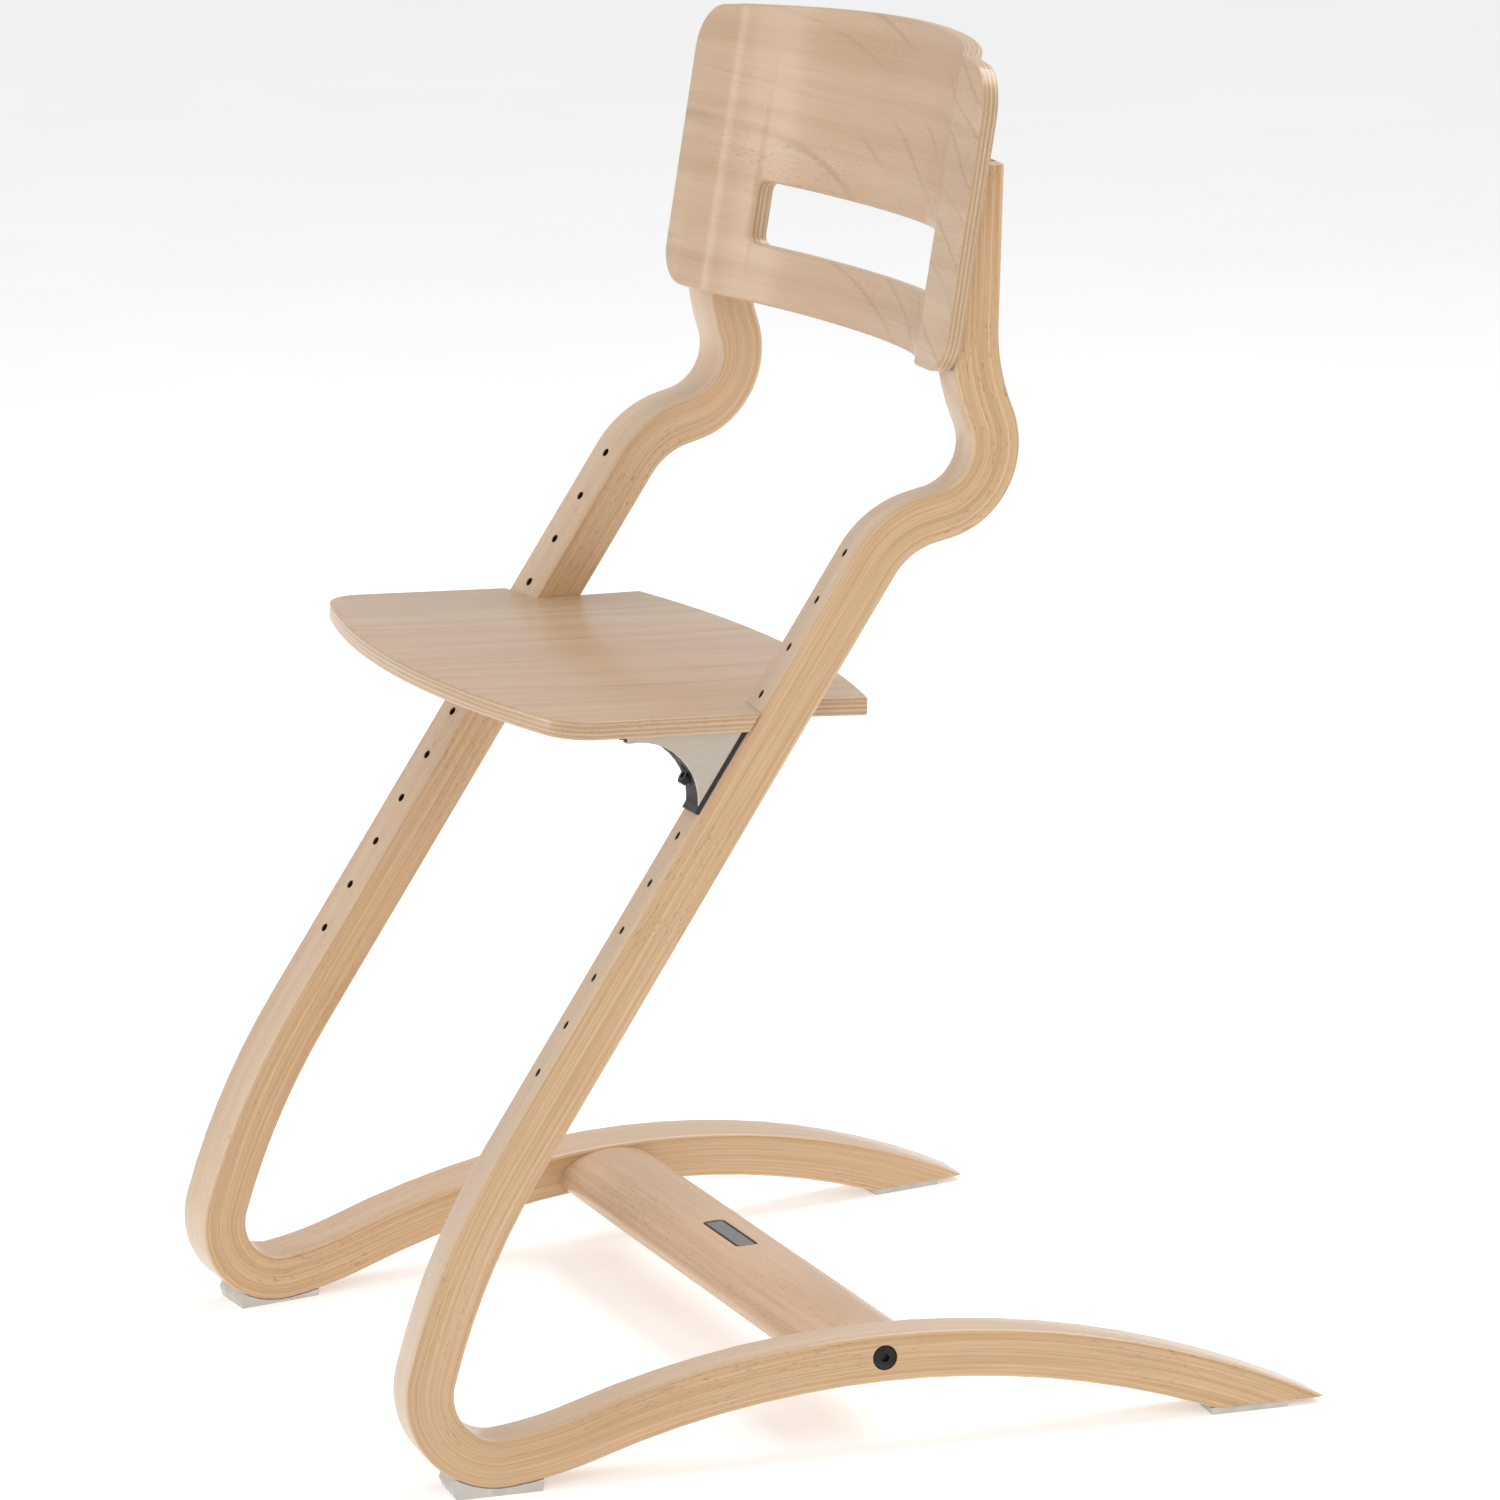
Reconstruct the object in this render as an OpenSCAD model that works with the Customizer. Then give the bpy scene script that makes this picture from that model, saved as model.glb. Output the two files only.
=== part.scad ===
// Bent-laminated beech high chair with a height-adjustable seat.
// Units are millimetres. +Z is up, the sitter faces -Y and the sitter's left is +X.
// The origin is on the floor under the middle of the overall box.
//
// Each side frame is one pressed ribbon drawn as a chain of straights and arcs in the
// YZ plane. It is then turned about its own row of holes, which spreads the feet and
// keeps the two hole rows parallel, so the seat can be refastened at any height.

/* [Side frames] */
// Width of the laminated ribbon, side to side
ribbon_w = 34; // [26:0.5:44]
// Thickness of the laminated ribbon
ribbon_t = 29; // [20:0.5:36]
// Distance of each hole row from the middle of the chair
row_x = 188; // [150:1:230]
// Depth position of the top of the straight upright
row_y = 20.6; // [0:0.2:40]
// Height of the top of the straight upright
row_z = 529.4; // [480:0.2:560]
// Lean of the straight upright from the vertical
row_lean = 34.2; // [25:0.1:40]
// Turn of each frame about its own hole row
frame_turn = 7.6; // [0:0.1:12]
// Length of the straight part of the upright
straight_l = 408; // [380:1:430]
// Radius of the gentle curve above the foot
sweep_r = 433; // [300:1:600]
// Angle of the gentle curve above the foot
sweep_a = 17.8; // [10:0.1:24]
// Radius of the tight front bend
bend_r = 42; // [34:0.5:60]
// Angle of the tight front bend
bend_a = 111.5; // [100:0.1:120]
// Radius of the curve that lifts the base
spring_r = 241; // [150:1:400]
// Angle of the curve that lifts the base
spring_a = 12.3; // [6:0.1:18]
// Radius of the long arch of the base
arch_r = 598; // [450:1:800]
// Length of the long arch before its end is cut
arch_l = 500; // [440:1:540]
// Radius of the bend from the upright into the knee
knee_low_r = 57; // [40:0.5:80]
// Angle of the bend from the upright into the knee
knee_low_a = 42.7; // [30:0.1:55]
// Radius of the knee below the backrest
knee_r = 42.3; // [34:0.1:60]
// Angle of the knee below the backrest
knee_a = 97.2; // [85:0.1:110]
// Radius of the curve between knee and top
neck_r = 129.5; // [90:0.5:200]
// Angle of the curve between knee and top
neck_a = 24.1; // [15:0.1:30]
// Height of the square-cut top of the upright
top_z = 759; // [730:1:790]
// Height of the flat cut under the rear end of the base
tail_z = 4; // [2:0.5:8]

/* [Hole rows] */
// Number of holes in each upright
hole_n = 12; // [6:1:12]
// Spacing of the holes
hole_pitch = 32; // [25:1:40]
// Distance of the first hole from the top of the straight
hole_start = 3; // [0:0.5:20]
// Diameter of each hole in the wood
hole_d = 5.6; // [5:0.1:8]
// Diameter of the threaded sleeve set inside
sleeve_d = 8.6; // [7:0.1:12]
// Length of the threaded sleeve
sleeve_l = 11; // [8:0.5:14]
// Depth of the sleeve below the front face
sleeve_in = 9; // [6:0.5:12]

/* [Crossbar] */
// Width of the lens-shaped crossbar section
bar_w = 70; // [50:1:90]
// Height of the lens-shaped crossbar section
bar_h = 33; // [24:1:36]
// Depth position of the crossbar
bar_y = 8.6; // [-20:0.2:30]
// Height of the middle of the crossbar
bar_z = 50.6; // [46:0.2:54]
// Height of the crossbar bolts
bolt_z = 55; // [52:0.5:57]
// Length of the blank metal badge
badge_l = 56; // [30:1:70]
// Width of the blank metal badge
badge_w = 14; // [10:0.5:18]
// Thickness of the blank metal badge
badge_t = 1.2; // [0.8:0.1:2]

/* [Glides] */
// Front end of the front glide
glide_y0 = -257; // [-265:0.5:-250]
// Rear end of the front glide
glide_y1 = -201.5; // [-215:0.5:-195]
// Front end of the rear glide
tail_glide_y0 = 215.5; // [205:0.5:225]
// Length of the rear glide
tail_glide_l = 50; // [30:1:60]

/* [Seat] */
// Thickness of the seat plate
seat_t = 11; // [8:0.5:15]
// Half width of the seat plate in front of the uprights
seat_hw = 206; // [190:1:220]
// Front of the seat at the middle
seat_y0 = -206.4; // [-230:0.2:-180]
// Back of the seat at the middle
seat_y1 = 46.6; // [20:0.2:60]
// Radius of the curved front edge
seat_front_r = 716; // [500:1:1200]
// Radius of the curved rear edge
seat_rear_r = 764; // [500:1:1200]
// Radius of the front corners
seat_corner_r = 28; // [10:1:50]
// Height of the seat top where it meets the uprights
seat_z = 448.6; // [430:0.2:470]
// Backward tilt of the seat
seat_tilt = 2.7; // [0:0.1:5]
// Gap between the seat and the faces of the uprights
seat_gap = 0.5; // [0.3:0.1:1]

/* [Seat brackets] */
// Width of the black bracket core
core_w = 24; // [18:0.5:28]
// Thickness of the bright side cheek
cheek_t = 2.4; // [1.5:0.1:4]
// Thickness of the black pad against the upright
pad_t = 2.5; // [1.5:0.1:4]
// Radius of the concave front of the bracket
bracket_r = 36; // [30:0.5:40]
// Depth position of the centre of the concave front
bracket_cy = -127.4; // [-135:0.2:-122]
// Height of the centre of the concave front
bracket_cz = 399; // [395:0.5:402]

/* [Backrest] */
// Thickness of the backrest plywood
back_t = 11; // [8:0.5:14]
// Half width of the backrest
back_hw = 212; // [200:1:225]
// Height of the bottom edge of the backrest
back_z = 631.6; // [620:0.2:650]
// Height of the backrest along its lean, at the middle
back_h = 194.4; // [170:0.2:210]
// Depth position of the front of the backrest at its bottom middle
back_y = 102.8; // [85:0.2:110]
// Backward lean of the backrest
back_lean = 10; // [6:0.1:14]
// Radius of the shallow middle of the backrest
back_r = 413; // [300:1:600]
// Angle turned by the shallow middle on each side
back_mid_a = 10.3; // [5:0.1:15]
// Radius of the tighter curve of each side
back_side_r = 254; // [180:1:400]
// Steepest angle of the sides of the backrest
back_a = 30.7; // [20:0.1:34]
// Radius of the bend into each flange
flange_r = 20; // [16:0.5:40]
// Outward angle of each flange
flange_a = 7; // [4:0.1:9]
// Drop of the top edge at the ends
back_crown = 16; // [0:0.5:20]
// Radius of the top corners
back_rt = 31; // [15:1:40]
// Radius of the bottom corners
back_rb = 24; // [10:1:35]
// Half length of the slot
slot_hl = 132; // [100:1:140]
// Bottom of the slot above the bottom edge
slot_z = 37; // [30:1:50]
// Height of the slot
slot_h = 39.5; // [25:0.5:50]
// Radius of the slot corners
slot_r = 6; // [3:0.5:10]

/* [Hidden] */
wood = [0.85, 0.70, 0.52];
pale = [0.87, 0.75, 0.60];
black = [0.08, 0.08, 0.09];
steel = [0.72, 0.72, 0.71];
grey = [0.70, 0.69, 0.66];
hw = ribbon_w / 2;
ht = ribbon_t / 2;
row_dir = [0, sin(row_lean), cos(row_lean)];
face_gap = 0.3;
bar_bolt_y = 10;
bar_bolt_d = 8;
bar_bolt_fit = 8.1;
head_d = 14.6;
bracket_bolt_at = -(hole_start + 5 * hole_pitch);
flange_bolts = [30, 92];
flange_x = 181;

// A chain is a list of [length, 0] straights and [radius, signed angle] arcs.
// Each result is [x, y, heading].
function step_arc(p, r, a, t) = let (h = p[2] + (a > 0 ? -90 : 90), q = p[2] + a * t)
  [p[0] - r * cos(h) + r * cos(h + a * t), p[1] - r * sin(h) + r * sin(h + a * t), q];
function step_line(p, l) = [p[0] + l * cos(p[2]), p[1] + l * sin(p[2]), p[2]];
function last(v) = v[len(v) - 1];
function piece(p, s) = s[1] == 0 ? [step_line(p, s[0])]
  : [for (i = [1 : s[2]]) step_arc(p, s[0], s[1], i / s[2])];
function walk(p, segs, i = 0) = i == len(segs) ? [p]
  : let (q = piece(p, segs[i])) concat([p], walk_on(q, segs, i + 1));
function walk_on(q, segs, i) = i == len(segs) ? q
  : concat(q, walk_on(piece(last(q), segs[i]), segs, i + 1));
function side_of(path, d) = [for (p = path)
  [p[0] - d * sin(p[2]), p[1] + d * cos(p[2])]];
function flip(v) = [for (i = [len(v) - 1 : -1 : 0]) v[i]];
function arc(cx, cy, r, a0, a1, n) = [for (i = [0 : n])
  [cx + r * cos(a0 + (a1 - a0) * i / n), cy + r * sin(a0 + (a1 - a0) * i / n)]];

// Ribbon outline: up from the top of the straight, and down round to the tail.
row_top = [row_y, row_z, 90 - row_lean];
up_path = walk(row_top, [[knee_low_r, -knee_low_a, 6], [10, 0], [knee_r, knee_a, 12],
                         [neck_r, -neck_a, 5], [115, 0]]);
down_path = walk([row_y, row_z, 270 - row_lean],
                 [[straight_l, 0], [sweep_r, sweep_a, 6], [bend_r, bend_a, 14],
                  [spring_r, spring_a, 4], [arch_r, -arch_l / arch_r * 180 / PI, 16]]);
ribbon_2d = concat(flip(side_of(up_path, ht)), side_of(down_path, -ht),
                   flip(side_of(down_path, ht)), side_of(up_path, -ht));

// Lens-shaped crossbar section and the concave bracket outline.
bar_2d = [for (i = [0 : 39])
  [bar_y + bar_w / 2 * cos(9 * i), bar_z + bar_h / 2 * sin(9 * i)]];
bracket_2d = concat([[bracket_cy - 5, 470]],
                    arc(bracket_cy, bracket_cz, bracket_r, 98, -12, 12),
                    [[-70, 388], [0, 400], [0, 470]]);

// Plan of the backrest from its middle to the end of one flange.
half_plan = walk([0, 0, 0], [[back_r, -back_mid_a, 5],
                             [back_side_r, back_mid_a - back_a, 8],
                             [flange_r, back_a - flange_a, 6], [70, 0]]);
half_front = side_of(half_plan, 0);
half_rear = side_of(half_plan, back_t);
plan_2d = concat(half_front, flip(half_rear), [for (p = half_rear) [-p[0], p[1]]],
                 flip([for (p = half_front) [-p[0], p[1]]]));
// The straight flange starts here, at its rear face.
flange_p = half_rear[len(half_rear) - 2];

function crown(x) = back_h - back_crown * pow(x / 200, 2);
top_x = back_hw - back_rt;
back_2d = concat(arc(back_rb - back_hw, back_rb, back_rb, 180, 270, 6),
                 arc(back_hw - back_rb, back_rb, back_rb, 270, 360, 6),
                 arc(top_x, crown(top_x) - back_rt, back_rt, 0, 90, 8),
                 [for (i = [5 : -1 : -5]) [top_x * i / 6, crown(top_x * i / 6)]],
                 arc(-top_x, crown(top_x) - back_rt, back_rt, 90, 180, 8));
slot_x = slot_hl - slot_r;
slot_2d = concat(arc(slot_x, slot_z + slot_r, slot_r, -90, 0, 4),
                 arc(slot_x, slot_z + slot_h - slot_r, slot_r, 0, 90, 4),
                 arc(-slot_x, slot_z + slot_h - slot_r, slot_r, 90, 180, 4),
                 arc(-slot_x, slot_z + slot_r, slot_r, 180, 270, 4));

// Seat outline in its own plane, measured from the line where it meets the uprights.
seat_line_y = -51.4;
front_c = seat_y0 + seat_front_r;
rear_c = seat_y1 - seat_rear_r;
// Corner circle tangent to the side and to the front arc.
corner_x = seat_hw - seat_corner_r;
corner_y = front_c - sqrt(pow(seat_front_r - seat_corner_r, 2) - pow(corner_x, 2));
corner_a = atan2(corner_y - front_c, corner_x);
function front_pt(i) = [seat_front_r * cos(-90 + (corner_a + 90) * i / 6),
                        front_c + seat_front_r * sin(-90 + (corner_a + 90) * i / 6)];
seat_half = concat([for (i = [0 : 5]) front_pt(i)],
                   arc(corner_x, corner_y, seat_corner_r, corner_a, 0, 7),
                   [for (i = [6 : -1 : 0]) [seat_hw * i / 6,
                    rear_c + sqrt(pow(seat_rear_r, 2) - pow(seat_hw * i / 6, 2))]]);
seat_2d = concat(seat_half, flip([for (i = [1 : len(seat_half) - 2])
                                  [-seat_half[i][0], seat_half[i][1]]]));

module mirror_x(right) {
  mirror([right ? 1 : 0, 0, 0]) children();
}

// Places the flat YZ drawing of a frame at the side of the chair.
module frame_place(right) {
  mirror_x(right)
    translate([row_x, row_y, row_z])
      rotate(a = -frame_turn, v = row_dir)
        translate([0, -row_y, -row_z])
          children();
}

// X out of the frame, Y square into the upright's front face, Z up the hole row.
module row_place(right) {
  frame_place(right)
    translate([0, row_y, row_z])
      rotate([-row_lean, 0, 0])
        children();
}

module slab(outline, w, x = 0) {
  translate([x, 0, 0])
    rotate([90, 0, 90])
      linear_extrude(w, center = true)
        polygon(outline);
}

module back_place() {
  translate([0, back_y, back_z])
    rotate([-back_lean, 0, 0])
      children();
}

// Origin on the rear face of a flange, Y pointing rearwards out of it.
module flange_place(right, s) {
  mirror_x(right)
    back_place()
      translate([flange_p[0], flange_p[1], s])
        rotate([0, 0, -flange_a])
          translate([(flange_x - flange_p[0]) / cos(flange_a), 0, 0])
            children();
}

module seat_place() {
  translate([0, seat_line_y, seat_z])
    rotate([-seat_tilt, 0, 0])
      translate([0, -seat_line_y, 0])
        children();
}

module rod_y(d, l) {
  rotate([-90, 0, 0]) cylinder(d = d, h = l, $fn = 32);
}

module rod_x(d, l) {
  rotate([0, 90, 0]) cylinder(d = d, h = l, $fn = 32);
}

module hex_x(af, l) {
  rotate([0, 90, 0]) cylinder(d = af / cos(30), h = l, $fn = 6);
}

module ribbon(right) {
  frame_place(right) slab(ribbon_2d, ribbon_w);
}

module bar_bolt_at(right) {
  frame_place(right) translate([hw, bar_bolt_y, bolt_z]) children();
}

module hole_row(right) {
  for (i = [0 : hole_n - 1])
    row_place(right)
      translate([0, -ht, -hole_start - i * hole_pitch])
        children();
}

module side_frame(right) {
  difference() {
    ribbon(right);
    translate([-500, -400, -60]) cube([1000, 1000, 60]);
    translate([-500, 150, -1]) cube([1000, 300, tail_z + 1]);
    translate([-500, -100, top_z]) cube([1000, 400, 100]);
    before_back(right);
    pin_holes(right, false);
    pin_holes(right, true);
    hole_row(right) {
      translate([0, -1, 0]) rod_y(hole_d, sleeve_in + 1.1);
    }
    hole_row(right) {
      translate([0, sleeve_in, 0]) rod_y(sleeve_d, sleeve_l);
    }
    bar_bolt_at(right) {
      translate([-ribbon_w - 1, 0, 0]) rod_x(bar_bolt_fit, ribbon_w + 2);
      translate([-5, 0, 0]) rod_x(head_d + 0.6, 10);
      for (y = [-15, 13])
        translate([-ribbon_w - 1, y, y / 6 - 3]) rod_x(6, 13);
    }
    for (s = flange_bolts)
      flange_place(right, s) {
        translate([0, -1, 0]) rod_y(6.4, 60);
        translate([0, 9, 0]) rod_y(13, 50);
      }
  }
}

module side_frame_left() {
  color(wood) side_frame(false);
}

module side_frame_right() {
  color(wood) side_frame(true);
}

module sleeves(right) {
  color(steel)
    hole_row(right)
      translate([0, sleeve_in, 0])
        difference() {
          rod_y(sleeve_d, sleeve_l);
          translate([0, -1, 0]) rod_y(5, sleeve_l + 2);
        }
}

module frame_sleeves_left() {
  sleeves(false);
}

module frame_sleeves_right() {
  sleeves(true);
}

module bar_cuts(right) {
  frame_place(right) translate([-hw, -300, -200]) cube([300, 600, 500]);
  bar_bolt_at(right) {
    translate([-ribbon_w - 48, 0, 0]) rod_x(bar_bolt_fit, 60);
    for (y = [-15, 13])
      translate([-ribbon_w - 18, y, y / 6 - 3]) rod_x(6, 30);
    translate([-ribbon_w - 34, 0, -60]) cylinder(d = 12, h = 68, $fn = 32);
  }
}

module crossbar() {
  color(wood)
    difference() {
      slab(bar_2d, 520);
      bar_cuts(false);
      bar_cuts(true);
      badge_shape(badge_t + 3);
    }
}

module badge_shape(h) {
  translate([0, bar_y, bar_z + bar_h / 2 - badge_t - 0.5])
    linear_extrude(h)
      polygon(concat(arc(badge_l / 2 - 3, badge_w / 2 - 3, 3, 0, 90, 4),
                     arc(3 - badge_l / 2, badge_w / 2 - 3, 3, 90, 180, 4),
                     arc(3 - badge_l / 2, 3 - badge_w / 2, 3, 180, 270, 4),
                     arc(badge_l / 2 - 3, 3 - badge_w / 2, 3, 270, 360, 4)));
}

module crossbar_badge() {
  color(steel) badge_shape(badge_t);
}

module crossbar_bolts() {
  color(black)
    for (right = [false, true])
      bar_bolt_at(right)
        difference() {
          union() {
            translate([-5, 0, 0]) rod_x(head_d, 4.8);
            translate([-ribbon_w - 44, 0, 0]) rod_x(bar_bolt_d, ribbon_w + 40);
          }
          translate([-3, 0, 0]) hex_x(5, 5);
        }
}

module crossbar_barrel_nuts() {
  color(steel)
    for (right = [false, true])
      bar_bolt_at(right)
        difference() {
          translate([-ribbon_w - 34, 0, -13]) cylinder(d = 12, h = 21, $fn = 32);
          translate([-ribbon_w - 48, 0, 0]) rod_x(bar_bolt_fit, 30);
        }
}

module crossbar_dowels() {
  color(pale)
    for (right = [false, true])
      bar_bolt_at(right)
        for (y = [-15, 13])
          translate([-ribbon_w - 17.5, y, y / 6 - 3]) rod_x(6, 29);
}

module glide_solid(right) {
  difference() {
    frame_place(right)
      slab([[glide_y0 + 5, -8], [glide_y0, 5], [glide_y0 + 2, 9.5],
            [glide_y0 + 22, 30], [glide_y1 - 8, 30], [glide_y1, 11],
            [glide_y1, 4], [glide_y1 - 2, -8]], ribbon_w - 1);
    ribbon(right);
    translate([-500, -400, -60]) cube([1000, 600, 60]);
    frame_place(right) translate([-hw - 1, -260, 19]) cube([ribbon_w + 2, 60, 30]);
    pin_holes(right, false);
  }
}

module pin_at(right, rear) {
  spots = rear ? [tail_glide_y0 + 12, tail_glide_y0 + 34] : [glide_y0 + 13, glide_y1 - 8];
  for (y = spots)
    frame_place(right) translate([0, y, 0]) rotate([0, -asin(sin(frame_turn) * sin(row_lean)), 0])
      children();
}

module pin_holes(right, rear) {
  pin_at(right, rear) translate([0, 0, 0.6]) cylinder(d = 3, h = 16, $fn = 24);
}

module front_glide_left() {
  color(grey) glide_solid(false);
}

module front_glide_right() {
  color(grey) glide_solid(true);
}

module rear_glide(right) {
  difference() {
    frame_place(right)
      slab([[tail_glide_y0 + 1.5, -10], [tail_glide_y0, 20],
            [tail_glide_y0 + tail_glide_l, 20], [tail_glide_y0 + tail_glide_l, -10]],
           ribbon_w - 2);
    translate([-500, 100, -60]) cube([1000, 300, 60]);
    translate([-500, 100, tail_z]) cube([1000, 300, 60]);
    pin_holes(right, true);
  }
}

module rear_glide_left() {
  color(grey) rear_glide(false);
}

module rear_glide_right() {
  color(grey) rear_glide(true);
}

module glide_pins() {
  color(steel)
    for (right = [false, true])
      for (rear = [false, true])
        pin_at(right, rear) translate([0, 0, 0.6]) cylinder(d = 3, h = 15.5, $fn = 24);
}

// Everything in front of the backrest's rear face, which the uprights are cut to fit.
module before_back(right) {
  mirror_x(right)
    back_place()
      translate([0, 0, -60])
        linear_extrude(300)
          polygon(concat(half_rear, [[236, -150], [0, -150]]));
}

module backrest() {
  color(wood)
    difference() {
      back_place()
        intersection() {
          linear_extrude(back_h + 20) polygon(plan_2d);
          translate([0, 60, 0])
            rotate([90, 0, 0])
              linear_extrude(200)
                polygon(back_2d);
        }
      back_place()
        translate([0, 60, 0])
          rotate([90, 0, 0])
            linear_extrude(200)
              polygon(slot_2d);
      for (right = [false, true])
        for (s = flange_bolts)
          flange_place(right, s) translate([0, -8.5, 0]) rod_y(9, 10);
    }
}

module backrest_sleeves() {
  color(steel)
    for (right = [false, true])
      for (s = flange_bolts)
        flange_place(right, s)
          translate([0, -8.5, 0])
            difference() {
              rod_y(9, 8.4);
              translate([0, -1, 0]) rod_y(6.1, 12);
            }
}

module backrest_bolts() {
  color(black)
    for (right = [false, true])
      for (s = flange_bolts)
        flange_place(right, s)
          difference() {
            union() {
              translate([0, -8, 0]) rod_y(6, 17.5);
              translate([0, 9, 0]) rod_y(12, 3.4);
            }
            translate([0, 10.4, 0]) rotate([0, 0, 90]) hex_x(4, 5);
          }
}

// Everything the seat may not enter beside and behind an upright's front face.
module upright_keepout(right) {
  row_place(right)
    translate([-hw - seat_gap, -ht - seat_gap, -600])
      cube([300, 500, 1200]);
}

module seat() {
  color(wood)
    difference() {
      seat_place() translate([0, 0, -seat_t]) linear_extrude(seat_t) polygon(seat_2d);
      upright_keepout(false);
      upright_keepout(true);
      for (right = [false, true])
        screw_at(right) translate([0, 0, -20]) cylinder(d = 4, h = 28, $fn = 24);
    }
}

// Z points square up into the seat, origin on its underside.
module screw_at(right) {
  mirror_x(right)
    for (dx = [-6.5, 6.5])
      seat_place()
        translate([181 + dx, -104.4, -seat_t])
          children();
}

module bracket_slice(right, w, x, back) {
  difference() {
    frame_place(right) slab(bracket_2d, w, x);
    seat_place() translate([-400, -400, -seat_t]) cube([800, 800, 200]);
    row_place(right)
      translate([-60, -ht - face_gap - back, -400])
        cube([120, 200, 600]);
  }
}

module bracket_bolt_bore(right, d, l) {
  row_place(right)
    translate([0, -ht - face_gap - l, bracket_bolt_at])
      rod_y(d, l);
}

module bracket_core(right) {
  difference() {
    bracket_slice(right, core_w, 0, pad_t);
    bracket_bolt_bore(right, 6.2, 60);
    row_place(right)
      translate([0, -ht - face_gap - 50, bracket_bolt_at])
        rod_y(11, 38);
    screw_at(right) translate([0, 0, -60]) cylinder(d = 4.2, h = 70, $fn = 24);
    screw_at(right) translate([0, 0, -50]) cylinder(d = 8, h = 42, $fn = 24);
  }
}

module bracket_core_left() {
  color(black) bracket_core(false);
}

module bracket_core_right() {
  color(black) bracket_core(true);
}

module bracket_cheek_left() {
  color(steel) bracket_slice(false, cheek_t, core_w / 2 + cheek_t / 2, pad_t);
}

module bracket_cheek_right() {
  color(steel) bracket_slice(true, cheek_t, core_w / 2 + cheek_t / 2, pad_t);
}

module bracket_pad(right) {
  difference() {
    row_place(right)
      translate([-core_w / 2, -ht - face_gap - pad_t, -179])
        cube([core_w + cheek_t, pad_t, 80]);
    seat_place() translate([-400, -400, -seat_t]) cube([800, 800, 200]);
    bracket_bolt_bore(right, 6.2, 30);
  }
}

module bracket_pad_left() {
  color(black) bracket_pad(false);
}

module bracket_pad_right() {
  color(black) bracket_pad(true);
}

module bracket_bolts() {
  color(black)
    for (right = [false, true])
      difference() {
        union() {
          bracket_bolt_bore(right, 6, 16);
          row_place(right)
            translate([0, -ht - face_gap - 16, bracket_bolt_at])
              rod_y(10, 4);
        }
        row_place(right)
          translate([0, -ht - face_gap - 17, bracket_bolt_at])
            rotate([0, 0, 90]) hex_x(4, 3.2);
      }
}

module seat_screws() {
  color(steel)
    for (right = [false, true])
      screw_at(right) {
        translate([0, 0, -8]) cylinder(d = 4, h = 15.5, $fn = 24);
        translate([0, 0, -10]) cylinder(d = 7.4, h = 2, $fn = 24);
      }
}

side_frame_left();
side_frame_right();
frame_sleeves_left();
frame_sleeves_right();
crossbar();
crossbar_badge();
crossbar_bolts();
crossbar_barrel_nuts();
crossbar_dowels();
front_glide_left();
front_glide_right();
rear_glide_left();
rear_glide_right();
glide_pins();
backrest();
backrest_sleeves();
backrest_bolts();
seat();
bracket_core_left();
bracket_core_right();
bracket_cheek_left();
bracket_cheek_right();
bracket_pad_left();
bracket_pad_right();
bracket_bolts();
seat_screws();
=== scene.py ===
# %% [markdown]
# # A bent-laminated high chair
# This lesson rebuilds a baby high chair made of pressed beech: two long ribbons that are
# foot, upright and back support in one, a plywood seat that can be moved up and down a
# row of holes, and a bent plywood backrest. The engineering model gives every place and
# size, so the first step is to load it and to note the box that it fills.

# %% Load the engineering model
import math

import bpy
from mathutils import Matrix, Vector


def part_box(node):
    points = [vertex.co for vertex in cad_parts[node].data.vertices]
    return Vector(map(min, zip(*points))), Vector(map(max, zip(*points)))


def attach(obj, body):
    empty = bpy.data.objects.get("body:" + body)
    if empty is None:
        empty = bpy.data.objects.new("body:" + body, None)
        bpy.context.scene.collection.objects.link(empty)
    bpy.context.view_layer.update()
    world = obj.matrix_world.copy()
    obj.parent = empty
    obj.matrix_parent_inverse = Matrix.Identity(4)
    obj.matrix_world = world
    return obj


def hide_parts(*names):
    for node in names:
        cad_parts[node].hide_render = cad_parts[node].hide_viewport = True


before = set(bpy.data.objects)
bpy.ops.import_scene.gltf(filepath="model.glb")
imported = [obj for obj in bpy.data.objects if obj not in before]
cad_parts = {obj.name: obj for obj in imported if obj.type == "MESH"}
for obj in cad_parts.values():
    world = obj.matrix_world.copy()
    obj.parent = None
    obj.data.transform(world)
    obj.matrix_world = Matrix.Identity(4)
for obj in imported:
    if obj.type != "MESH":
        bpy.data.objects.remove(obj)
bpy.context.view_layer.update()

# %% [markdown]
# Loading leaves every imported part selected, and an operator works on all that is
# selected. So each step starts from a clean selection, and picks its own object, faces or
# edges by where they are. These few helpers are the hand movements used all through.

# %% Hand movements
MM = 0.001


def clear_selection():
    if bpy.context.object and bpy.context.object.mode != "OBJECT":
        bpy.ops.object.mode_set(mode="OBJECT")
    bpy.ops.object.select_all(action="DESELECT")


def pick(piece):
    clear_selection()
    piece.select_set(True)
    bpy.context.view_layer.objects.active = piece


def into_edit(piece):
    pick(piece)
    bpy.ops.object.mode_set(mode="EDIT")
    bpy.ops.mesh.select_mode(type="VERT")
    bpy.ops.mesh.select_all(action="SELECT")


def out_of_edit():
    bpy.ops.object.mode_set(mode="OBJECT")


def select_points(piece, wanted):
    """In edit mode, selects the vertices whose place passes the test, and what they span."""
    bpy.ops.mesh.select_all(action="DESELECT")
    out_of_edit()
    for v in piece.data.vertices:
        v.select = wanted(v.co)
    bpy.ops.object.mode_set(mode="EDIT")
    bpy.ops.mesh.select_mode(type="VERT")


def settle(piece, placement=None):
    """Writes an object's place into its mesh, so that the object sits at the origin."""
    if placement is not None:
        piece.matrix_world = placement
    pick(piece)
    bpy.ops.object.transform_apply(location=True, rotation=True, scale=True)


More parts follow.
